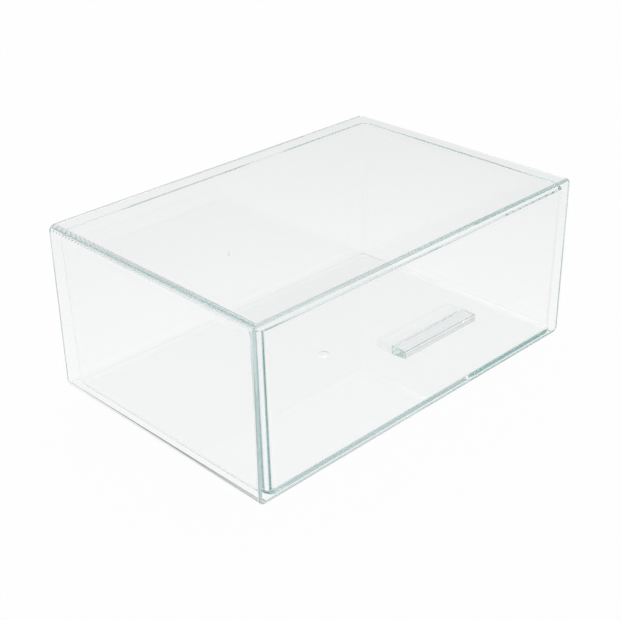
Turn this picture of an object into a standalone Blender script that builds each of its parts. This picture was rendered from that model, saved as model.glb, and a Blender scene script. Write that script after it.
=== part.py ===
"""Clear moulded storage drawer: an open-fronted case, a tray that slides in it and a bar handle.

Units are metres and +Z is up. The front faces -Y and the width runs along X. The origin is the
middle of the face that the case stands on.
"""

import math

import bmesh
import bpy
from mathutils import Vector

# Case
CASE_WIDTH = 0.305
CASE_DEPTH = 0.2025
CASE_HEIGHT = 0.1243
CASE_WALL = 0.0027
CASE_BACK_WALL = 0.0028
CASE_SIDE_DRAFT = math.radians(0.25)
CEILING_DRAFT = math.radians(0.25)
CASE_EDGE_RADIUS = 0.0055
CASE_BACK_RADIUS = 0.0045
CAVITY_EDGE_RADIUS = 0.0006
MOUTH_OUTER_ROUND = 0.0012
MOUTH_INNER_ROUND = 0.0003

# Clearances of the drawer in the case
SLIDE_GAP = 0.0003
SIDE_GAP = 0.0018
CEILING_GAP = 0.0042
BACK_GAP = 0.0045
FRONT_RECESS = 0.0003

# Drawer
DRAWER_WALL = 0.0026
DRAWER_FLOOR = 0.0024
DRAWER_DRAFT = math.radians(0.9)
DRAWER_FRONT_RADIUS = 0.0105
DRAWER_FRONT_INNER_RADIUS = 0.004
DRAWER_BACK_RADIUS = 0.008
FLOOR_OUTER_RADIUS = 0.0005
FLOOR_INNER_RADIUS = 0.0018
SMALLEST_RADIUS = 0.0006
RIM_ROUND = 0.0006
RIM_BAND = 0.0004
RIM_BAND_HEIGHT = 0.0048
RIM_BAND_SLOPE = 0.0008
RIM_BAND_FRONT_GAP = 0.0015
RIM_BAND_REAR_GAP = 0.028
RIM_BAND_FADE = 0.003

# Handle
HANDLE_LENGTH = 0.0713
HANDLE_REACH = 0.0115
HANDLE_HEIGHT = 0.0066
HANDLE_RISE = 0.001
HANDLE_TAPER = math.radians(2.5)
HANDLE_EDGE_RADIUS = 0.0006
HANDLE_BOND_GAP = 0.0003

# Gate marks that the mould leaves under the drawer's floor and on the case's back
GATE_DIMPLE_RADIUS = 0.0045
GATE_DIMPLE_DEPTH = 0.0006
GATE_SLOPE = 0.0008
GATE_STUB_RADIUS = 0.0014
GATE_STUB_HEIGHT = 0.0004
CASE_GATE_HEIGHT = 0.051

CORNER_STEPS = 8
ROUND_STEPS = 4
FADE_STEPS = 4
GATE_STEPS = 32

# Places worked out from the sizes above
CASE_FRONT = -CASE_DEPTH / 2
CASE_BACK = CASE_DEPTH / 2
DRAWER_UNDERSIDE = CASE_WALL + SLIDE_GAP
DRAWER_RIM = CASE_HEIGHT - CASE_WALL - CEILING_GAP
DRAWER_HALF_WIDTH = CASE_WIDTH / 2 - CASE_WALL - SIDE_GAP
DRAWER_FRONT = CASE_FRONT + FRONT_RECESS
DRAWER_BACK = CASE_BACK - CASE_BACK_WALL - BACK_GAP
RIM_BAND_START = DRAWER_FRONT + DRAWER_FRONT_RADIUS + RIM_BAND_FRONT_GAP


def arc(centre, radius, start, end, steps):
    """Points of an arc, as pairs, from one angle in degrees to another."""
    angles = [math.radians(start + (end - start) * step / steps) for step in range(steps + 1)]
    return [(centre[0] + radius * math.cos(a), centre[1] + radius * math.sin(a)) for a in angles]


def skin(name, rings):
    """Closes a row of equal rings of points into one solid, with a flat face at each end."""
    mesh = bmesh.new()
    loops = [[mesh.verts.new(point) for point in ring] for ring in rings]
    count = len(loops[0])
    for first, second in zip(loops, loops[1:]):
        for k in range(count):
            following = (k + 1) % count
            mesh.faces.new((first[k], first[following], second[following], second[k]))
    mesh.faces.new(loops[0])
    mesh.faces.new(loops[-1])
    bmesh.ops.recalc_face_normals(mesh, faces=mesh.faces)
    return add_object(name, mesh)


def add_object(name, mesh):
    """Turns a bmesh into an object that is smooth where its faces meet at a shallow angle."""
    data = bpy.data.meshes.new(name)
    mesh.to_mesh(data)
    mesh.free()
    data.shade_smooth()
    data.set_sharp_from_angle(angle=math.radians(40))
    item = bpy.data.objects.new(name, data)
    bpy.context.collection.objects.link(item)
    return item


def clear_plastic(name, tint, roughness):
    """A clear moulded plastic with a faint green cast."""
    material = bpy.data.materials.new(name)
    material.use_nodes = True
    shader = material.node_tree.nodes["Principled BSDF"]
    shader.inputs["Base Color"].default_value = (*tint, 1.0)
    shader.inputs["Roughness"].default_value = roughness
    shader.inputs["Metallic"].default_value = 0.0
    shader.inputs["IOR"].default_value = 1.59
    shader.inputs["Transmission Weight"].default_value = 1.0
    return material


def gate_cutter(name, centre, downwards):
    """What the gate mark removes from a flat face: a shallow dish with a low stub left in it."""
    profile = (
        (GATE_STUB_RADIUS, -GATE_DIMPLE_DEPTH + GATE_STUB_HEIGHT),
        (GATE_STUB_RADIUS, -GATE_DIMPLE_DEPTH),
        (GATE_DIMPLE_RADIUS - GATE_SLOPE, -GATE_DIMPLE_DEPTH),
        (GATE_DIMPLE_RADIUS, 0.0),
        (GATE_DIMPLE_RADIUS, GATE_DIMPLE_DEPTH),
    )
    rings = []
    for radius, height in profile:
        ring = []
        for x, y in arc((0.0, 0.0), radius, 0, 360, GATE_STEPS)[:-1]:
            if downwards:
                ring.append(Vector((centre[0] + x, centre[1] + y, centre[2] - height)))
            else:
                ring.append(Vector((centre[0] + x, centre[1] + height, centre[2] + y)))
        rings.append(ring)
    cutter = skin(name, rings)
    cutter.hide_render = True
    cutter.display_type = "WIRE"
    return cutter


def cut(item, cutter):
    """Takes a cutter's shape out of an object."""
    modifier = item.modifiers.new("gate mark", "BOOLEAN")
    modifier.operation = "DIFFERENCE"
    modifier.solver = "EXACT"
    modifier.object = cutter


def case_ring(depth, inset, cavity):
    """A section across the case at a depth behind its front edge, inset from its mould line."""
    wall = CASE_WALL if cavity else 0.0
    largest = CAVITY_EDGE_RADIUS if cavity else CASE_EDGE_RADIUS
    radius = max(largest - inset, SMALLEST_RADIUS)
    side = CASE_WIDTH / 2 - depth * math.tan(CASE_SIDE_DRAFT) - wall - inset
    low = wall + inset
    high = CASE_HEIGHT - wall - inset
    if cavity:
        high -= depth * math.tan(CEILING_DRAFT)
    corners = (
        (-side + radius, low + radius, 180),
        (side - radius, low + radius, 270),
        (side - radius, high - radius, 0),
        (-side + radius, high - radius, 90),
    )
    points = []
    for x, z, start in corners:
        points += arc((x, z), radius, start, start + 90, CORNER_STEPS)
    return [Vector((x, CASE_FRONT + depth, z)) for x, z in points]


def build_case():
    """The case: a box open at the front, rounded outside and drafted so that it leaves its mould."""
    back = arc((CASE_BACK_RADIUS, CASE_DEPTH - CASE_BACK_RADIUS), CASE_BACK_RADIUS, 90, 180, ROUND_STEPS)
    rings = [case_ring(depth, inset, False) for inset, depth in back]
    mouth = arc((MOUTH_OUTER_ROUND, MOUTH_OUTER_ROUND), MOUTH_OUTER_ROUND, 180, 270, ROUND_STEPS)
    rings += [case_ring(depth, inset, False) for inset, depth in mouth]
    # Inside the mouth the rounding opens outwards, so its inset is negative.
    lip = arc((-MOUTH_INNER_ROUND, MOUTH_INNER_ROUND), MOUTH_INNER_ROUND, 270, 360, ROUND_STEPS)
    rings += [case_ring(depth, inset, True) for inset, depth in lip]
    bottom = CASE_DEPTH - CASE_BACK_WALL
    corner = arc((CAVITY_EDGE_RADIUS, bottom - CAVITY_EDGE_RADIUS), CAVITY_EDGE_RADIUS, 180, 90, ROUND_STEPS)
    rings += [case_ring(depth, inset, True) for inset, depth in corner]
    case = skin("case", rings)
    cut(case, gate_cutter("case_gate_cutter", (0.0, CASE_BACK, CASE_GATE_HEIGHT), False))
    return case


def smooth_step(share):
    """Eases a share from 0 to 1."""
    share = min(max(share, 0.0), 1.0)
    return share * share * (3 - 2 * share)


def band_share(y):
    """How much of the rim's inner band a place has: all of it along the sides, none at the ends."""
    rise = smooth_step((y - RIM_BAND_START) / RIM_BAND_FADE)
    fall = smooth_step((y - DRAWER_BACK + RIM_BAND_REAR_GAP) / RIM_BAND_FADE)
    return rise - fall


def side_stations():
    """Depths at which the drawer's side walls have points, front to back."""
    fades = (RIM_BAND_START, DRAWER_BACK - RIM_BAND_REAR_GAP)
    return [start + RIM_BAND_FADE * step / FADE_STEPS for start in fades for step in range(FADE_STEPS + 1)]


def corner_radius(end, inset):
    """Radius of an upright corner of the drawer, at an inset from its outside.

    The back corners keep the wall's thickness. The front ones are thinner on the diagonal, because
    they are round outside and tighter inside.
    """
    if end > 0:
        return max(DRAWER_BACK_RADIUS - inset, SMALLEST_RADIUS)
    if inset > DRAWER_WALL:
        return max(DRAWER_FRONT_INNER_RADIUS + DRAWER_WALL - inset, SMALLEST_RADIUS)
    share = inset / DRAWER_WALL
    return DRAWER_FRONT_RADIUS * (1 - share) + DRAWER_FRONT_INNER_RADIUS * share


def drawer_point(column, inset, lean):
    """Where a column of the drawer's plan outline stands, moved inwards by an inset.

    The sides and the back also lean inwards. The front wall stands upright, flush with the case.
    """
    kind, side, end, value = column
    if kind == "side":
        return side * (DRAWER_HALF_WIDTH - lean - inset), value
    radius = corner_radius(end, inset)
    x = side * (DRAWER_HALF_WIDTH - lean - inset - radius)
    y = DRAWER_FRONT + inset + radius if end < 0 else DRAWER_BACK - lean - inset - radius
    return x + radius * math.cos(value), y + radius * math.sin(value)


def drawer_columns():
    """The columns of the drawer's plan outline, anticlockwise from its front left corner."""
    columns = []
    for side, end, start in ((-1, -1, 180), (1, -1, 270)):
        for step in range(CORNER_STEPS + 1):
            columns.append(("corner", side, end, math.radians(start + 90 * step / CORNER_STEPS)))
    columns += [("side", 1, 0, y) for y in side_stations()]
    for side, end, start in ((1, 1, 0), (-1, 1, 90)):
        for step in range(CORNER_STEPS + 1):
            columns.append(("corner", side, end, math.radians(start + 90 * step / CORNER_STEPS)))
    columns += [("side", -1, 0, y) for y in reversed(side_stations())]
    return columns


def drawer_ring(columns, inset, z, band=0.0):
    """A level ring of the drawer's wall, with an extra inset where the rim's inner band runs."""
    lean = (DRAWER_RIM - z) * math.tan(DRAWER_DRAFT)
    ring = []
    for column in columns:
        x, y = drawer_point(column, inset, lean)
        x, y = drawer_point(column, inset + band * band_share(y), lean)
        ring.append(Vector((x, y, z)))
    return ring


def build_drawer():
    """The drawer: a tray with leaning sides and back, a rounded floor and a band inside its rim."""
    columns = drawer_columns()
    rings = []
    low = DRAWER_UNDERSIDE + FLOOR_OUTER_RADIUS
    for inset, z in arc((FLOOR_OUTER_RADIUS, low), FLOOR_OUTER_RADIUS, 270, 180, ROUND_STEPS):
        rings.append(drawer_ring(columns, inset, z))
    high = DRAWER_RIM - RIM_ROUND
    for inset, z in arc((RIM_ROUND, high), RIM_ROUND, 180, 90, ROUND_STEPS):
        rings.append(drawer_ring(columns, inset, z))
    for inset, z in arc((DRAWER_WALL - RIM_ROUND, high), RIM_ROUND, 90, 0, ROUND_STEPS):
        rings.append(drawer_ring(columns, inset, z, RIM_BAND))
    band_foot = DRAWER_RIM - RIM_BAND_HEIGHT
    rings.append(drawer_ring(columns, DRAWER_WALL, band_foot + RIM_BAND_SLOPE, RIM_BAND))
    rings.append(drawer_ring(columns, DRAWER_WALL, band_foot))
    centre = (DRAWER_WALL + FLOOR_INNER_RADIUS, DRAWER_UNDERSIDE + DRAWER_FLOOR + FLOOR_INNER_RADIUS)
    for inset, z in arc(centre, FLOOR_INNER_RADIUS, 180, 270, ROUND_STEPS):
        rings.append(drawer_ring(columns, inset, z))
    drawer = skin("drawer", rings)
    middle = (DRAWER_FRONT + DRAWER_BACK) / 2
    cut(drawer, gate_cutter("drawer_gate_cutter", (0.0, middle, DRAWER_UNDERSIDE), True))
    return drawer


def build_handle():
    """The handle: a clear bar, a little thinner at its front, bonded to the drawer's front wall."""
    mesh = bmesh.new()
    bmesh.ops.create_cube(mesh, size=1.0)
    thinner = HANDLE_REACH * math.tan(HANDLE_TAPER)
    for vert in mesh.verts:
        at_front = vert.co.y < 0
        height = HANDLE_HEIGHT - 2 * thinner if at_front else HANDLE_HEIGHT
        length = HANDLE_LENGTH - 2 * thinner if at_front else HANDLE_LENGTH
        vert.co = Vector((vert.co.x * length, vert.co.y * HANDLE_REACH, vert.co.z * height))
    bmesh.ops.bevel(mesh, geom=mesh.edges[:], offset=HANDLE_EDGE_RADIUS, segments=3, profile=0.5, affect="EDGES")
    handle = add_object("handle", mesh)
    height = (DRAWER_UNDERSIDE + DRAWER_RIM) / 2 + HANDLE_RISE
    seat = DRAWER_FRONT - HANDLE_BOND_GAP
    handle.location = Vector((0, seat - HANDLE_REACH / 2, height))
    return handle


def build():
    """Makes the whole unit in an empty scene."""
    for item in list(bpy.data.objects):
        bpy.data.objects.remove(item, do_unlink=True)
    case = build_case()
    drawer = build_drawer()
    handle = build_handle()
    case.data.materials.append(clear_plastic("case_plastic", (0.93, 0.965, 0.955), 0.03))
    drawer.data.materials.append(clear_plastic("drawer_plastic", (0.93, 0.965, 0.955), 0.03))
    handle.data.materials.append(clear_plastic("handle_plastic", (0.90, 0.955, 0.94), 0.04))
    slide = bpy.data.objects.new("slide_axis", None)
    slide.location = (0, DRAWER_FRONT, DRAWER_UNDERSIDE)
    bpy.context.collection.objects.link(slide)
    bpy.context.view_layer.update()
    for item in (drawer, handle):
        item.parent = slide
        item.matrix_parent_inverse = slide.matrix_world.inverted()


build()
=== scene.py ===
# %% [markdown]
# # A clear pull-out storage drawer
# This lesson builds a see-through desk organiser: a moulded case that is open at the front, a tray
# that slides in it, and a short bar bonded to the tray as its handle. All three are clear plastic,
# so nearly everything the eye gets is light bent at edges. That is why the shapes come first, and
# why flat walls have to be truly flat: a wall whose shading bulges works as a lens.

# %% Load the fixed frame
import math
import bmesh
import bpy
from mathutils import Matrix, Vector


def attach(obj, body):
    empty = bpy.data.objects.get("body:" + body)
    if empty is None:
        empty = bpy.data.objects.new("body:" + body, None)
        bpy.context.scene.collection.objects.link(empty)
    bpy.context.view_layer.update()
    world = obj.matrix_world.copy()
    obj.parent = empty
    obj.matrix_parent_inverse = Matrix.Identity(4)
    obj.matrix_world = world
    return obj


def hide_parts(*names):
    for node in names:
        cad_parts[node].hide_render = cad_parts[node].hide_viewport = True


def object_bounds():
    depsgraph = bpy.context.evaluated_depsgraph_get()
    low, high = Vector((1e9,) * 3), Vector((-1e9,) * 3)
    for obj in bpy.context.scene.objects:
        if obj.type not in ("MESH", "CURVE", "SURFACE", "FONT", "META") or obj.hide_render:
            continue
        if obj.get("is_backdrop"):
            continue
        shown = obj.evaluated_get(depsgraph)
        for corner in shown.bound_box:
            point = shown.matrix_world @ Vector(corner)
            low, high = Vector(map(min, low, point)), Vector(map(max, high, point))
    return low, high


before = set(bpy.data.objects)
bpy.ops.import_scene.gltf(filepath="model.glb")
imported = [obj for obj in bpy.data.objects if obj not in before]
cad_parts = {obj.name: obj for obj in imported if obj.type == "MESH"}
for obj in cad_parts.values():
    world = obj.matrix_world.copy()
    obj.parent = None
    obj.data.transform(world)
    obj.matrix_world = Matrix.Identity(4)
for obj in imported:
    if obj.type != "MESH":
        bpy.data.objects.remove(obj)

cad_box = [list(corner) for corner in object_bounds()]
print("box in mm:", [round(1000 * (b - a), 1) for a, b in zip(*cad_box)])

# %% [markdown]
# ## Sizes
# Every size is written in millimetres and turned to metres once. The outside comes from the packed
# frame's own numbers. The walls of such organisers are 2.5 to 3 mm thick, and every wall that the
# mould's core leaves has a little draft, so that the piece comes off it.

# %% Sizes of the case, the tray and the handle
def mm(value):
    """Millimetres to metres."""
    return value / 1000.0


CASE_WIDTH, CASE_DEPTH, CASE_HEIGHT = mm(305.0), mm(202.5), mm(124.3)
CASE_WALL, CASE_BACK_WALL = mm(2.7), mm(2.8)
CASE_EDGE, CASE_BACK_EDGE, CAVITY_EDGE = mm(5.5), mm(4.5), mm(0.6)
CASE_DRAFT = math.radians(0.25)
FRONT, BACK = -CASE_DEPTH / 2, CASE_DEPTH / 2

TRAY_HALF = mm(148.0)
TRAY_FRONT, TRAY_BACK = FRONT + mm(0.3), BACK - CASE_BACK_WALL - mm(4.5)
TRAY_UNDER, TRAY_RIM = mm(3.0), mm(117.4)
TRAY_WALL, TRAY_FLOOR = mm(2.6), mm(2.4)
TRAY_DRAFT = math.radians(0.9)

HANDLE_LENGTH, HANDLE_REACH, HANDLE_HEIGHT = mm(71.3), mm(11.5), mm(6.6)
HANDLE_MIDDLE = (TRAY_UNDER + TRAY_RIM) / 2 + mm(1.0)
BOND_GAP = mm(0.3)
print("tray depth in mm:", round(1000 * (TRAY_BACK - TRAY_FRONT), 1))

# %% [markdown]
# ## Working by hand, in code
# Each piece starts as a cube of the right size and is then shaped with the tools one would use in
# edit mode. An operator acts on all that is selected, so each step first deselects everything and
# then picks points, edges or faces by where they are or which way they face.

# %% Helpers for starting and shaping a piece
def only(piece):
    """Makes one object the only selected and active one."""
    bpy.ops.object.select_all(action="DESELECT")
    piece.select_set(True)
    bpy.context.view_layer.objects.active = piece


def start_box(name, low, high):
    """Adds a cube between two corners, as the start of a piece, and opens it in edit mode."""
    bpy.ops.object.select_all(action="DESELECT")
    middle = [(a + b) / 2 for a, b in zip(low, high)]
    size = [b - a for a, b in zip(low, high)]
    bpy.ops.mesh.primitive_cube_add(size=1, location=middle, scale=size)
    piece = bpy.context.object
    piece.name = piece.data.name = name
    bpy.ops.object.transform_apply(location=True, rotation=True, scale=True)
    bpy.ops.object.mode_set(mode="EDIT")
    return piece


def pick(kind, test):
    """Selects the points, edges or faces of the piece in edit mode that pass a test."""
    bpy.ops.mesh.select_mode(type=kind)
    bpy.ops.mesh.select_all(action="DESELECT")
    data = bpy.context.object.data
    mesh = bmesh.from_edit_mesh(data)
    parts = {"VERT": mesh.verts, "EDGE": mesh.edges, "FACE": mesh.faces}[kind]
    found = [part for part in parts if test(part)]
    for part in found:
        part.select_set(True)
    bmesh.update_edit_mesh(data)
    return len(found)


def facing(axis, sign):
    """A test for faces that look along an axis, one way or the other."""
    return lambda face: face.normal[axis] * sign > 0.99


def middle_of(edge):
    """The middle of an edge."""
    return (edge.verts[0].co + edge.verts[1].co) / 2


def along(edge, axis):
    """Whether an edge runs along an axis."""
    step = edge.verts[1].co - edge.verts[0].co
    return abs(step[axis]) > 0.9 * step.length


def round_over(radius, segments):
    """Rounds the selected edges."""
    bpy.ops.mesh.bevel(offset=radius, segments=segments, profile=0.5, affect="EDGES")


# How many strips a rounding gets: a corner that shows in the outline, a smaller edge, a fine one.
CORNER_CUTS, EDGE_CUTS, FINE_CUTS = 8, 6, 4
# How far a point may be off and still count as being in a place.
SLACK = mm(0.01)
print("helpers ready")

# %% [markdown]
# ## The case: outside and cavity
# The real case comes out of a two-part mould: a cavity that gives it its soft outer edges, and a
# polished core with crisp corners that gives it its inside. Modelling it the same way gives the
# same optics: an outer shell with 5.5 mm roundings, an inner shell with 0.6 mm ones, and the thick
# corner between them, where light gets caught and comes out green.

# %% Shape the outer shell
def squeeze(axis, share, centre=(0, 0, 0)):
    """Scales what is selected along one axis about a point."""
    value = [1.0, 1.0, 1.0]
    value[axis] = share
    bpy.ops.transform.resize(value=value, center_override=centre)


clear_case = start_box(
    "clear_case", (-CASE_WIDTH / 2, FRONT, 0), (CASE_WIDTH / 2, BACK, CASE_HEIGHT)
)
pick("FACE", facing(1, 1))
squeeze(0, 1 - 2 * CASE_DEPTH * math.tan(CASE_DRAFT) / CASE_WIDTH)
print("long edges rounded:", pick("EDGE", lambda edge: along(edge, 1)))
round_over(CASE_EDGE, CORNER_CUTS)
pick("FACE", facing(1, 1))
round_over(CASE_BACK_EDGE, EDGE_CUTS)
pick("FACE", facing(1, -1))
bpy.ops.mesh.delete(type="ONLY_FACE")
bpy.ops.object.mode_set(mode="OBJECT")
print("outer shell:", len(clear_case.data.polygons), "faces")

# %% Shape the cavity
# The back's rounding is a little tighter than the long ones, so that no two points fall together.
CAVITY_BACK_EDGE = 0.95 * CAVITY_EDGE
cavity_depth = CASE_DEPTH - CASE_BACK_WALL
cavity = start_box(
    "cavity",
    (-CASE_WIDTH / 2 + CASE_WALL, FRONT, CASE_WALL),
    (CASE_WIDTH / 2 - CASE_WALL, BACK - CASE_BACK_WALL, CASE_HEIGHT - CASE_WALL),
)
pick("FACE", facing(1, 1))
squeeze(0, 1 - 2 * cavity_depth * math.tan(CASE_DRAFT) / (CASE_WIDTH - 2 * CASE_WALL))
pick("VERT", lambda vert: vert.co.y > 0 and vert.co.z > CASE_HEIGHT / 2)
bpy.ops.transform.translate(value=(0, 0, -cavity_depth * math.tan(CASE_DRAFT)))
pick("EDGE", lambda edge: along(edge, 1))
round_over(CAVITY_EDGE, CORNER_CUTS)
pick("FACE", facing(1, 1))
round_over(CAVITY_BACK_EDGE, FINE_CUTS)
pick("FACE", facing(1, -1))
bpy.ops.mesh.delete(type="ONLY_FACE")
bpy.ops.mesh.select_all(action="SELECT")
bpy.ops.mesh.flip_normals()
bpy.ops.object.mode_set(mode="OBJECT")
print("cavity:", len(cavity.data.polygons), "faces")

# %% [markdown]
# ## Joining the shells at the mouth
# The two shells have rims with the same number of points, so one bridge closes the mouth with clean
# four-sided faces. The moulded lip is softer on its outside, where the hand meets it, than inside.

# %% Bridge the shells and soften the lip
LIP_OUTSIDE, LIP_INSIDE = mm(1.2), mm(0.3)


def bridge(outer, inner):
    """Joins two open shells and closes the strip between their rims, ending in edit mode."""
    bpy.ops.object.select_all(action="DESELECT")
    inner.select_set(True)
    outer.select_set(True)
    bpy.context.view_layer.objects.active = outer
    bpy.ops.object.join()
    bpy.ops.object.mode_set(mode="EDIT")
    print("rim edges bridged:", pick("EDGE", lambda edge: edge.is_boundary))
    bpy.ops.mesh.bridge_edge_loops()


def rim_edge(edge, axis, sign):
    """Whether an edge bounds the flat strip of a rim that faces along an axis."""
    strips = [face for face in edge.link_faces if face.normal[axis] * sign > 0.99]
    return len(edge.link_faces) == 2 and len(strips) == 1


def within_cavity(edge):
    """Whether an edge of the lip is on the cavity's side."""
    place = middle_of(edge)
    low, high = CASE_WALL - SLACK, CASE_HEIGHT - CASE_WALL + SLACK
    return abs(place.x) < CASE_WIDTH / 2 - CASE_WALL + SLACK and low < place.z < high


def at_mouth(edge):
    """Whether both ends of an edge lie on the plane of the case's mouth."""
    return all(abs(vert.co.y - FRONT) < SLACK for vert in edge.verts)


def lip_edge(edge, inside):
    """Whether an edge bounds the lip, on the cavity's side or on the outer one."""
    return at_mouth(edge) and rim_edge(edge, 1, -1) and within_cavity(edge) == inside


bridge(clear_case, cavity)
print("outer lip edges:", pick("EDGE", lambda edge: lip_edge(edge, False)))
round_over(LIP_OUTSIDE, EDGE_CUTS)
print("inner lip edges:", pick("EDGE", lambda edge: lip_edge(edge, True)))
round_over(LIP_INSIDE, FINE_CUTS)
bpy.ops.object.mode_set(mode="OBJECT")
print("case:", len(clear_case.data.polygons), "faces")

# %% [markdown]
# ## Gate marks
# Melted plastic enters the mould at one point and leaves a shallow dish with the trace of a
# broken-off stub in it. Here it is on the case's back and under the tray's floor. The tool that
# cuts it is a short cylinder, tapered to the dish's floor and with a recess where the trace stays.
# Clear plastic shows only the slope of the dish: a gentle one draws a soft, pale arc.

# %% Make the cutter and cut the mark of the case
STUB_RADIUS, STUB_HEIGHT = mm(0.5), mm(0.05)
CASE_DISH = {"radius": mm(3.2), "depth": mm(0.6), "slope": mm(1.3)}
CASE_DISH_HEIGHT = mm(51.0)
TOWARDS_FRONT = (math.radians(90), 0, 0)
UPWARDS = (0, 0, 0)


def dish_cutter(name, place, turn, radius, depth, slope):
    """The shape that a gate mark removes, cut upwards from below unless it is turned."""
    bpy.ops.object.select_all(action="DESELECT")
    bpy.ops.mesh.primitive_cylinder_add(vertices=48, radius=radius, depth=depth,
                                        location=(0, 0, depth / 2))
    cutter = bpy.context.object
    cutter.name = name
    bpy.ops.object.transform_apply(location=True, rotation=True, scale=True)
    bpy.ops.object.mode_set(mode="EDIT")
    pick("FACE", facing(2, -1))
    bpy.ops.mesh.extrude_region_move(TRANSFORM_OT_translate={"value": (0, 0, -depth)})
    pick("FACE", facing(2, 1))
    share = 1 - slope / radius
    bpy.ops.transform.resize(value=(share, share, 1), center_override=(0, 0, depth))
    bpy.ops.mesh.inset(thickness=radius - slope - STUB_RADIUS)
    bpy.ops.mesh.extrude_region_move(TRANSFORM_OT_translate={"value": (0, 0, -STUB_HEIGHT)})
    bpy.ops.object.mode_set(mode="OBJECT")
    cutter.rotation_euler = turn
    cutter.location = place
    only(cutter)
    bpy.ops.object.transform_apply(location=True, rotation=True, scale=True)
    return cutter


def carve(piece, cutter):
    """Takes a cutter's shape out of a piece and removes the cutter."""
    modifier = piece.modifiers.new("gate mark", "BOOLEAN")
    modifier.operation = "DIFFERENCE"
    modifier.solver = "EXACT"
    modifier.object = cutter
    only(piece)
    bpy.ops.object.modifier_apply(modifier=modifier.name)
    bpy.data.objects.remove(cutter, do_unlink=True)


case_gate = dish_cutter("case_gate", (0, BACK, CASE_DISH_HEIGHT), TOWARDS_FRONT, **CASE_DISH)
carve(clear_case, case_gate)
print("case with its gate mark:", len(clear_case.data.polygons), "faces")

# %% [markdown]
# ## Flat stays flat
# Smooth shading averages the normals where faces meet, and along a narrow rounding that pulls the
# normals of the large flat wall too. In paint nobody sees it, but in clear plastic it bends what is
# behind the wall. Normals weighted by face area keep the walls flat and the roundings round.

# %% Shade a piece for clear plastic
SMOOTH_UP_TO = math.radians(35)


def shade_clear(piece):
    """Smooth roundings, flat walls and crisp corners."""
    only(piece)
    bpy.ops.object.shade_smooth_by_angle(angle=SMOOTH_UP_TO)
    modifier = piece.modifiers.new("flat walls", "WEIGHTED_NORMAL")
    modifier.mode = "FACE_AREA"
    modifier.weight = 100
    modifier.keep_sharp = True
    bpy.ops.object.modifier_apply(modifier=modifier.name)


def seams(piece):
    """How many edges of a piece don't have two faces."""
    mesh = bmesh.new()
    mesh.from_mesh(piece.data)
    count = sum(len(edge.link_faces) != 2 for edge in mesh.edges)
    mesh.free()
    return count


shade_clear(clear_case)
print("open seams in the case:", seams(clear_case))

# %% [markdown]
# ## The tray
# The tray leans in towards its floor on three sides, because it has to leave its core, while its
# front stands upright, flush with the case. The back corners keep the wall's thickness. The front
# ones are wide outside and tighter inside, and that matters for the look: light that enters such a
# corner is thrown into the front wall and runs the whole width, so the near one turns dark green.
# The edge round the floor is wide at the sides and the back, where it shows as a faint line, and
# tight at the front, where it gathers the light that runs down the front wall.

# %% Shape a shell of the tray
def upright_corner(edge, end):
    """Whether an edge is one of the tray's upright corners at its front (-1) or its back (1)."""
    middle = middle_of(edge)
    return along(edge, 2) and middle.y * end > TRAY_BACK / 2


def floor_edge(edge):
    """Whether an edge bounds the shell's floor."""
    return any(face.normal.z < -0.99 for face in edge.link_faces)


def round_floor(shell, front_radius, radius, corner):
    """Rounds the edge round a shell's floor, in edit mode: one radius in front, one elsewhere."""
    print(shell.name, "floor edges:", pick("EDGE", floor_edge))
    mesh = bmesh.from_edit_mesh(shell.data)
    weight = mesh.edges.layers.float.new("bevel_weight_edge")
    start = min(vert.co.y for vert in mesh.verts)
    for edge in mesh.edges:
        if floor_edge(edge):
            # Along the corner's arc the radius grows from the one at the front to the other.
            share = min(1.0, (middle_of(edge).y - start) / corner)
            edge[weight] = (front_radius + (radius - front_radius) * share) / radius
    bmesh.update_edit_mesh(shell.data)
    bpy.ops.object.mode_set(mode="OBJECT")
    modifier = shell.modifiers.new("floor edge", "BEVEL")
    modifier.limit_method = "WEIGHT"
    modifier.width = radius
    modifier.segments = EDGE_CUTS
    bpy.ops.object.modifier_apply(modifier=modifier.name)
    bpy.ops.object.mode_set(mode="EDIT")


def tray_shell(name, inset, floor, back_corner, front_corner, front_floor, side_floor):
    """One skin of the tray, open at the top, left in edit mode."""
    half = TRAY_HALF - inset
    low, high = (-half, TRAY_FRONT + inset, floor), (half, TRAY_BACK - inset, TRAY_RIM)
    shell = start_box(name, low, high)
    lean = (TRAY_RIM - floor) * math.tan(TRAY_DRAFT)
    pick("FACE", facing(2, -1))
    squeeze(0, 1 - lean / half)
    pick("VERT", lambda vert: vert.co.y > 0 and vert.co.z < TRAY_RIM / 2)
    bpy.ops.transform.translate(value=(0, -lean, 0))
    for end, corner in ((1, back_corner), (-1, front_corner)):
        print(name, "upright edges:", pick("EDGE", lambda edge: upright_corner(edge, end)))
        round_over(corner, CORNER_CUTS)
    round_floor(shell, front_floor, side_floor, front_corner)
    pick("FACE", facing(2, 1))
    bpy.ops.mesh.delete(type="ONLY_FACE")
    return shell


print("tray's wall in mm:", round(1000 * TRAY_WALL, 2))

# %% [markdown]
# ## A band inside the rim
# A thin band runs inside the rim along both sides and stops 28 mm before the back. It thickens the
# wall by 0.4 mm where fingers lift the tray. Straight cuts across the shell mark where it starts
# and ends, and the points between them are moved inwards.

# %% Cut the shells and move the band
BAND_FOOT, BAND_SLOPE, BAND_STEP = TRAY_RIM - mm(4.8), mm(0.8), mm(0.4)
BAND_START, BAND_END, BAND_FADE = TRAY_FRONT + mm(12), TRAY_BACK - mm(25), mm(3)
BAND_STATIONS = [BAND_START, BAND_START + BAND_FADE, BAND_END - BAND_FADE, BAND_END]
# Nothing but the side wall is this near to the tray's side.
SIDE_ZONE = mm(2)


def slice_at(place, normal):
    """Cuts a line round the piece in edit mode."""
    bpy.ops.mesh.select_all(action="SELECT")
    bpy.ops.mesh.bisect(plane_co=place, plane_no=normal, use_fill=False)


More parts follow.
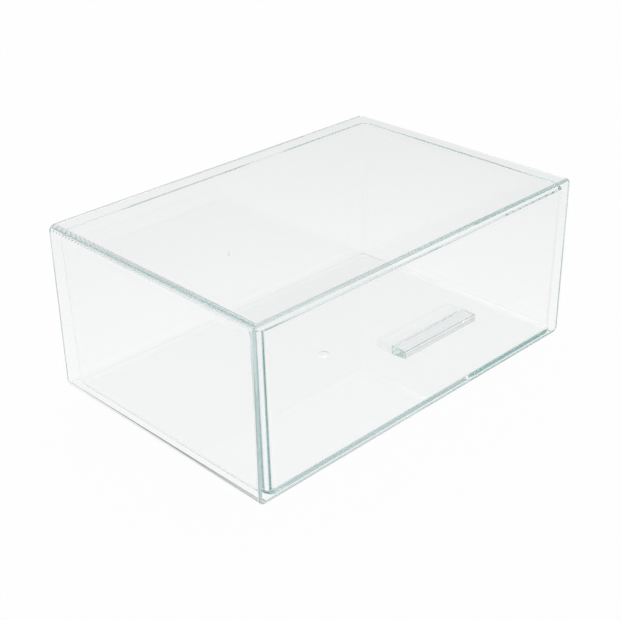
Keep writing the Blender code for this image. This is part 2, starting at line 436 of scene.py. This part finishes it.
def in_band(vert, side):
    """Whether a point belongs to the band on one side of the tray."""
    place = vert.co
    high = place.z > BAND_FOOT + BAND_SLOPE - SLACK
    between = BAND_STATIONS[1] - SLACK < place.y < BAND_STATIONS[2] + SLACK
    return high and between and place.x * side > TRAY_HALF - TRAY_WALL - SIDE_ZONE


clear_tray = tray_shell(
    "clear_tray", inset=0, floor=TRAY_UNDER,
    back_corner=mm(8.0), front_corner=mm(8.0), front_floor=mm(0.5), side_floor=mm(6.0),
)
for station in BAND_STATIONS:
    slice_at((0, station, 0), (0, 1, 0))
bpy.ops.object.mode_set(mode="OBJECT")

tray_inside = tray_shell(
    "tray_inside", inset=TRAY_WALL, floor=TRAY_UNDER + TRAY_FLOOR,
    back_corner=mm(5.4), front_corner=mm(2.1), front_floor=mm(1.8), side_floor=mm(3.0),
)
for station in BAND_STATIONS:
    slice_at((0, station, 0), (0, 1, 0))
for height in (BAND_FOOT, BAND_FOOT + BAND_SLOPE):
    slice_at((0, 0, height), (0, 0, 1))
for side in (-1, 1):
    print("band points moved:", pick("VERT", lambda vert: in_band(vert, side)))
    bpy.ops.transform.translate(value=(-side * BAND_STEP, 0, 0))
bpy.ops.mesh.select_all(action="SELECT")
bpy.ops.mesh.flip_normals()
bpy.ops.object.mode_set(mode="OBJECT")

# %% Close the tray's rim and cut its gate mark
RIM_ROUND = mm(0.25)
TRAY_DISH = {"radius": mm(4.8), "depth": mm(0.28), "slope": mm(1.3)}


def at_rim(edge):
    """Whether both ends of an edge lie on the plane of the tray's rim."""
    return all(abs(vert.co.z - TRAY_RIM) < SLACK for vert in edge.verts)


bridge(clear_tray, tray_inside)
print("rim edges rounded:", pick("EDGE", lambda edge: at_rim(edge) and rim_edge(edge, 2, 1)))
round_over(RIM_ROUND, FINE_CUTS)
bpy.ops.object.mode_set(mode="OBJECT")
tray_centre = (0, (TRAY_FRONT + TRAY_BACK) / 2, TRAY_UNDER)
carve(clear_tray, dish_cutter("tray_gate", tray_centre, UPWARDS, **TRAY_DISH))
shade_clear(clear_tray)
print("tray:", len(clear_tray.data.polygons), "faces, open seams:", seams(clear_tray))

# %% [markdown]
# ## The handle
# A short cast bar with softened edges, a little thinner at its front than where it is bonded. It
# starts as a box, and its front face is drawn in on all four sides.

# %% Shape the bar
BAR_EDGE, BAR_TAPER = mm(0.6), math.radians(2.5)
seat = TRAY_FRONT - BOND_GAP
clear_bar = start_box(
    "clear_bar",
    (-HANDLE_LENGTH / 2, seat - HANDLE_REACH, HANDLE_MIDDLE - HANDLE_HEIGHT / 2),
    (HANDLE_LENGTH / 2, seat, HANDLE_MIDDLE + HANDLE_HEIGHT / 2),
)
drawn_in = 2 * HANDLE_REACH * math.tan(BAR_TAPER)
pick("FACE", facing(1, -1))
squeeze(0, 1 - drawn_in / HANDLE_LENGTH)
squeeze(2, 1 - drawn_in / HANDLE_HEIGHT, (0, seat, HANDLE_MIDDLE))
pick("EDGE", lambda edge: True)
round_over(BAR_EDGE, FINE_CUTS)
bpy.ops.object.mode_set(mode="OBJECT")
shade_clear(clear_bar)
print("bar:", len(clear_bar.data.polygons), "faces, open seams:", seams(clear_bar))

# %% [markdown]
# ## The line of cement
# The bar is stuck on with a drop of solvent cement that crept out between the two flat faces and
# stopped in a wavy outline. The film fills the gap of 0.3 mm and reaches 0.02 mm into the bar and
# the wall, so that light passes as through one piece. A fine grid is trimmed to a wavy edge by
# moving its points, and extruded to its thickness.

# %% Shape the film
FILM_OVERLAP = mm(0.02)
FILM_THICKNESS = BOND_GAP + 2 * FILM_OVERLAP
FILM_HALF_LENGTH, FILM_HALF_HEIGHT = HANDLE_LENGTH / 2 - mm(1.5), HANDLE_HEIGHT / 2 - mm(1.1)
WAVE_ROOM, END_TAPER, END_SHARE = mm(0.2), mm(6), 0.35


def wave(place):
    """How far the film's edge wanders at a place along the bar, in metres."""
    return mm(0.45) * math.sin(place * 310) + mm(0.3) * math.sin(place * 733 + 1.1)


bpy.ops.object.select_all(action="DESELECT")
bpy.ops.mesh.primitive_grid_add(x_subdivisions=70, y_subdivisions=8, size=1,
                                location=(0, seat - FILM_OVERLAP, HANDLE_MIDDLE),
                                rotation=(math.radians(90), 0, 0))
cement_film = bpy.context.object
cement_film.scale = (2 * FILM_HALF_LENGTH, 2 * FILM_HALF_HEIGHT, 1)
cement_film.name = cement_film.data.name = "cement_film"
bpy.ops.object.transform_apply(location=True, rotation=True, scale=True)
for vert in cement_film.data.vertices:
    height = (vert.co.z - HANDLE_MIDDLE) / FILM_HALF_HEIGHT
    end = min(1.0, (FILM_HALF_LENGTH - abs(vert.co.x)) / END_TAPER)
    narrowing = END_SHARE + (1 - END_SHARE) * math.sqrt(max(end, 0.0))
    reach = (FILM_HALF_HEIGHT - WAVE_ROOM) * narrowing + wave(vert.co.x)
    vert.co.z = HANDLE_MIDDLE + height * reach
only(cement_film)
bpy.ops.object.mode_set(mode="EDIT")
bpy.ops.mesh.select_all(action="SELECT")
bpy.ops.mesh.extrude_region_move(TRANSFORM_OT_translate={"value": (0, FILM_THICKNESS, 0)})
bpy.ops.mesh.select_all(action="SELECT")
bpy.ops.mesh.normals_make_consistent(inside=False)
bpy.ops.object.mode_set(mode="OBJECT")
shade_clear(cement_film)
print("film:", len(cement_film.data.polygons), "faces, open seams:", seams(cement_film))

# %% [markdown]
# ## Materials
# The case and the tray are injection-moulded general-purpose polystyrene: glass clear, glossy from
# a polished mould, with an index of refraction of 1.59. Its faint green only shows where light has
# run a long way inside a wall, which is why the flat walls look neutral and the edges look green.
# So the colour is in the volume, and the surface is left white. What the surface adds is the slow
# ripple of plastic that cooled as it flowed, and the hairlines of handling.

# %% A colour converter and one node helper
def linear(code):
    """An sRGB hex colour as linear red, green, blue and alpha."""
    parts = [int(code[k:k + 2], 16) / 255 for k in (1, 3, 5)]
    return [c / 12.92 if c <= 0.04045 else ((c + 0.055) / 1.055) ** 2.4 for c in parts] + [1.0]


def add_node(tree, kind, settings, links):
    """Adds a node, sets its fields and sockets, and links its inputs. A number is a socket's place."""
    node = tree.nodes.new(kind)
    for field, value in settings.items():
        if isinstance(field, int) or field in node.inputs:
            node.inputs[field].default_value = value
        else:
            setattr(node, field, value)
    for socket, source in links.items():
        tree.links.new(source, node.inputs[socket])
    return node


# %% The clear plastic
def per_metre(size_mm):
    """A pattern scale that repeats about once in a size given in millimetres."""
    return 1000.0 / size_mm


# One index for all pieces, as the cement joins them without a visible step.
PLASTIC_IOR = 1.59
WHITE = linear("#FFFFFF")


def clear_moulding(name, depth_colour, density, ripple_mm, ripple):
    """Clear moulded plastic: light takes its colour from the way it runs inside."""
    material = bpy.data.materials.new(name)
    material.use_nodes = True
    tree = material.node_tree
    tree.nodes.clear()
    where = add_node(tree, "ShaderNodeTexCoord", {}, {}).outputs["Object"]
    # Flow ripples of the cooling plastic, tens of millimetres long and microns high.
    flow = add_node(tree, "ShaderNodeTexNoise", {"Scale": per_metre(ripple_mm), "Detail": 1.0},
                    {"Vector": where})
    wavy = add_node(tree, "ShaderNodeBump", {"Strength": ripple, "Distance": mm(0.05)},
                    {"Height": flow.outputs["Fac"]})
    # Handling hairlines: noise stretched along one way, drawn coarser than real so that they show.
    stretched = add_node(tree, "ShaderNodeMapping",
                         {"Rotation": (0.3, 0.2, 0.6),
                          "Scale": (per_metre(1.2), per_metre(40), per_metre(3))},
                         {"Vector": where})
    hairs = add_node(tree, "ShaderNodeTexNoise", {"Scale": 1.0, "Detail": 2.0},
                     {"Vector": stretched.outputs["Vector"]})
    worn = add_node(tree, "ShaderNodeMapRange",
                    {"From Min": 0.55, "From Max": 0.8, "To Min": 0.0, "To Max": 0.03},
                    {"Value": hairs.outputs["Fac"]})
    glass = add_node(tree, "ShaderNodeBsdfPrincipled",
                     {"Base Color": WHITE, "IOR": PLASTIC_IOR, "Transmission Weight": 1.0},
                     {"Roughness": worn.outputs["Result"], "Normal": wavy.outputs["Normal"]})
    # Lamps reach through clear plastic, so its shadow is faint.
    ray = add_node(tree, "ShaderNodeLightPath", {}, {})
    thin_air = add_node(tree, "ShaderNodeBsdfTransparent", {"Color": linear("#F2F7F6")}, {})
    surface = add_node(tree, "ShaderNodeMixShader", {},
                       {0: ray.outputs["Is Shadow Ray"], 1: glass.outputs["BSDF"],
                        2: thin_air.outputs["BSDF"]})
    inside = add_node(tree, "ShaderNodeVolumeAbsorption",
                      {"Color": linear(depth_colour), "Density": density}, {})
    add_node(tree, "ShaderNodeOutputMaterial", {},
             {"Surface": surface.outputs["Shader"], "Volume": inside.outputs["Volume"]})
    return material


def dress(piece, material, body, slot, *nodes):
    """Gives a piece its material and its body, and lets it stand for CAD nodes. The slot is not used.
    """
    piece.data.materials.clear()
    piece.data.materials.append(material)
    if nodes:
        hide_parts(*nodes)
    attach(piece, body)
    print(piece.name, "rides on", body)


case_polystyrene = clear_moulding("case_polystyrene", "#B4E0DC", density=1.0, ripple_mm=60, ripple=0.05)
tray_polystyrene = clear_moulding("tray_polystyrene", "#86D4D1", density=1.5, ripple_mm=45, ripple=0.05)
bar_acrylic = clear_moulding("bar_acrylic", "#A8E0D6", density=3.0, ripple_mm=25, ripple=0.04)
dress(clear_case, case_polystyrene, "case", "case_plastic", "case")
dress(clear_tray, tray_polystyrene, "drawer", "drawer_plastic", "drawer")
dress(clear_bar, bar_acrylic, "drawer", "handle_plastic", "handle")

# %% The cured cement
cured_cement = clear_moulding("cured_cement", "#E6F2EF", density=4.0, ripple_mm=2.5, ripple=0.6)
dress(cement_film, cured_cement, "drawer", "handle_plastic")

# %% [markdown]
# ## Stage and light
# The photograph is a product shot on pure white. The floor shows itself as white to the camera, and
# keeps a small share of real, lit surface, so that a faint shadow stays. Through the plastic and in its
# gloss it shows painted light and shade instead: a painted falloff and a painted contact shadow.
# The studio round it is a little darker above and behind the camera than behind the object. That
# difference is what draws a clear thing: its walls mirror the darker part and turn a soft grey.

# %% The sheet of paper
FLOOR_SIZE, FLOOR_DROP = 8, mm(0.4)
bpy.ops.object.select_all(action="DESELECT")
bpy.ops.mesh.primitive_plane_add(size=FLOOR_SIZE, location=(0, 0, -FLOOR_DROP))
floor = bpy.context.object
floor.name = "studio_floor"
bpy.ops.object.transform_apply(location=True, rotation=True, scale=True)
paper = bpy.data.materials.new("white_paper_sweep")
paper.use_nodes = True
floor.data.materials.append(paper)
floor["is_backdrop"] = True
print("floor is", [round(v, 1) for v in floor.dimensions], "m")

# %% How the paper shows through the plastic, with painted light and shade
tree = paper.node_tree
tree.nodes.clear()
# Through the plastic and in its gloss the paper shows painted light: brightest at the object, dimmer
# further away.
here = add_node(tree, "ShaderNodeTexCoord", {}, {}).outputs["Object"]
away = add_node(tree, "ShaderNodeVectorMath", {"operation": "LENGTH"}, {0: here})
reach = add_node(tree, "ShaderNodeMapRange", {"From Min": 0.15, "From Max": 0.7},
                 {"Value": away.outputs["Value"]})
painted_falloff = add_node(tree, "ShaderNodeValToRGB", {}, {"Fac": reach.outputs["Result"]})
for element, shade in zip(painted_falloff.color_ramp.elements, ("#FCFCFC", "#E6E6E6")):
    element.color = linear(shade)
# Where the case's roundings come down to the paper, little light gets between the two, so a painted
# contact shadow, a dark line, is put into the paper's glow. That line is a millimetre wide, 6 mm in
# from the case's sides and 1 mm in from its front and back.
CONTACT_SHADE_ZONE, SIDE_LINE, FRONT_LINE = mm(10), CASE_WIDTH / 2, CASE_DEPTH / 2 + mm(5)
place = add_node(tree, "ShaderNodeSeparateXYZ", {}, {0: here})
past = []
for axis, half in (("X", SIDE_LINE), ("Y", FRONT_LINE)):
    size = add_node(tree, "ShaderNodeMath", {"operation": "ABSOLUTE"}, {0: place.outputs[axis]})
    beyond = add_node(tree, "ShaderNodeMath", {"operation": "SUBTRACT", 1: half}, {0: size.outputs[0]})
    past.append(beyond.outputs[0])
outside = add_node(tree, "ShaderNodeMath", {"operation": "MAXIMUM"}, {0: past[0], 1: past[1]})
contact_shade_reach = add_node(tree, "ShaderNodeMapRange", {"From Min": -CONTACT_SHADE_ZONE, "From Max": 0.0},
                     {"Value": outside.outputs[0]})
painted_contact_shade = add_node(tree, "ShaderNodeValToRGB", {}, {"Fac": contact_shade_reach.outputs["Result"]})
for element in painted_contact_shade.color_ramp.elements:
    element.color = WHITE
# The painted contact shadow: a dark band in an otherwise white ramp, softened at both sides.
for spot, shade in ((0.325, "#FFFFFF"), (0.355, "#40504C"), (0.4, "#40504C"), (0.42, "#F4F4F4")):
    painted_contact_shade.color_ramp.elements.new(spot).color = linear(shade)
# The painted falloff times the painted contact shadow.
painted_shading = add_node(tree, "ShaderNodeVectorMath", {"operation": "MULTIPLY"},
                  {0: painted_falloff.outputs["Color"], 1: painted_contact_shade.outputs["Color"]})
print("contact line in mm:", [round(1000 * CONTACT_SHADE_ZONE * (spot - 1), 1) for spot in (0.355, 0.4)])

# %% The paper's glow, and the share that takes real light
GLOW_SHARE = 0.96
ray = add_node(tree, "ShaderNodeLightPath", {}, {})
direct = ray.outputs["Is Camera Ray"]
seen = direct
for kind in ("Is Transmission Ray", "Is Glossy Ray"):
    either = add_node(tree, "ShaderNodeMath", {"operation": "MAXIMUM"}, {0: seen, 1: ray.outputs[kind]})
    seen = either.outputs[0]
share = add_node(tree, "ShaderNodeMath", {"operation": "MULTIPLY", 1: GLOW_SHARE}, {0: seen})
lit = add_node(tree, "ShaderNodeBsdfDiffuse", {"Color": linear("#F4F4F4")}, {})
glow = add_node(tree, "ShaderNodeEmission", {"Color": WHITE, "Strength": 1.0}, {})
# Seen through the plastic and in its gloss, the paper glows with painted light and shade; the camera
# sees plain white.
painted_shade_glow = add_node(tree, "ShaderNodeEmission", {"Strength": 1.0}, {"Color": painted_shading.outputs[0]})
backdrop = add_node(tree, "ShaderNodeMixShader", {},
                    {0: direct, 1: painted_shade_glow.outputs[0], 2: glow.outputs[0]})
mixed = add_node(tree, "ShaderNodeMixShader", {},
                 {0: share.outputs[0], 1: lit.outputs[0], 2: backdrop.outputs[0]})
add_node(tree, "ShaderNodeOutputMaterial", {}, {"Surface": mixed.outputs[0]})
print("share of the paper that takes real light:", round(1 - GLOW_SHARE, 2))

# %% The studio round the object
BEHIND_OBJECT = (0.695, 0.719, 0.0)
studio = bpy.data.worlds.new("studio")
bpy.context.scene.world = studio
studio.use_nodes = True
tree = studio.node_tree
tree.nodes.clear()
where = add_node(tree, "ShaderNodeTexCoord", {}, {}).outputs["Generated"]
towards = add_node(tree, "ShaderNodeVectorMath", {"operation": "DOT_PRODUCT", 1: BEHIND_OBJECT},
                   {0: where})
span = add_node(tree, "ShaderNodeMapRange", {"From Min": -1.0, "From Max": 1.0},
                {"Value": towards.outputs["Value"]})
dimming = add_node(tree, "ShaderNodeValToRGB", {}, {"Fac": span.outputs["Result"]})
for element, shade in zip(dimming.color_ramp.elements, ("#D4D5D5", "#E8E9E9")):
    element.color = linear(shade)
dimming.color_ramp.elements.new(0.5).color = linear("#BFC0C0")
room = add_node(tree, "ShaderNodeBackground", {"Strength": 1.0}, {"Color": dimming.outputs["Color"]})
white = add_node(tree, "ShaderNodeBackground", {"Color": WHITE, "Strength": 1.0}, {})
ray = add_node(tree, "ShaderNodeLightPath", {}, {})
seen = add_node(tree, "ShaderNodeMixShader", {},
                {0: ray.outputs["Is Camera Ray"], 1: room.outputs[0], 2: white.outputs[0]})
add_node(tree, "ShaderNodeOutputWorld", {}, {"Surface": seen.outputs[0]})
print("studio set")

# %% A soft lamp from above
OBJECT_MIDDLE = Vector((0, 0, 0.06))


def softbox(name, place, size, power):
    """A square area lamp that looks at the object."""
    data = bpy.data.lights.new(name, "AREA")
    data.shape = "SQUARE"
    data.size = size
    data.energy = power
    lamp = bpy.data.objects.new(name, data)
    bpy.context.scene.collection.objects.link(lamp)
    lamp.location = place
    aim = OBJECT_MIDDLE - Vector(place)
    lamp.rotation_euler = aim.to_track_quat("-Z", "Y").to_euler()
    print(name, "has", power, "W")


softbox("overhead_softbox", place=(0.2, 0.5, 1.6), size=1.2, power=9)

# %% [markdown]
# ## The camera
# The six outer edges of the case in the photograph, taken as straight lines, fix where the camera
# stood: 0.9 m away, 28 degrees above the horizon and 44 degrees round from the front. The three
# directions of the picture are written as the columns of a turn.

# %% Place the camera
FRAME_PIXELS, FOCAL_PIXELS, SENSOR_MM = 620, 1230.239, 36
STAND = Vector((-0.5469039, -0.5511129, 0.4517421))
lens_data = bpy.data.cameras.new("camera")
camera = bpy.data.objects.new("camera", lens_data)
bpy.context.scene.collection.objects.link(camera)
right = Vector((0.7099207, -0.7041360, -0.0143206))
down = Vector((-0.3394821, -0.3243142, -0.8829339))
forward = Vector((0.6170612, 0.6316746, -0.4692789))
turn = Matrix((right, -down, -forward)).transposed().to_4x4()
turn.translation = STAND
camera.matrix_world = turn
lens_data.sensor_width = SENSOR_MM
lens_data.lens = SENSOR_MM * FOCAL_PIXELS / FRAME_PIXELS
bpy.context.scene.camera = camera
print("lens in mm:", round(lens_data.lens, 2))

# %% [markdown]
# ## Letting light run inside the walls
# Light that is caught in a wall is thrown from one face to the other every few millimetres, and
# leaves it only at a far edge. With few bounces it would be lost and the edges would turn black.
# With enough of them they turn the pale green of a long way through the plastic.

# %% Bounces and view
BOUNCES = 256
scene = bpy.context.scene
scene.cycles.max_bounces = BOUNCES
scene.cycles.transmission_bounces = BOUNCES
scene.cycles.glossy_bounces = BOUNCES
scene.view_settings.view_transform = "Standard"
print("bounces:", scene.cycles.max_bounces)

# %% Check the sizes
dressed_box = [list(corner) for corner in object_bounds()]
for end, before, after in zip(("low", "high"), cad_box, dressed_box):
    print(end, "corner moved, in mm:", [round(1000 * (b - a), 3) for a, b in zip(before, after)])
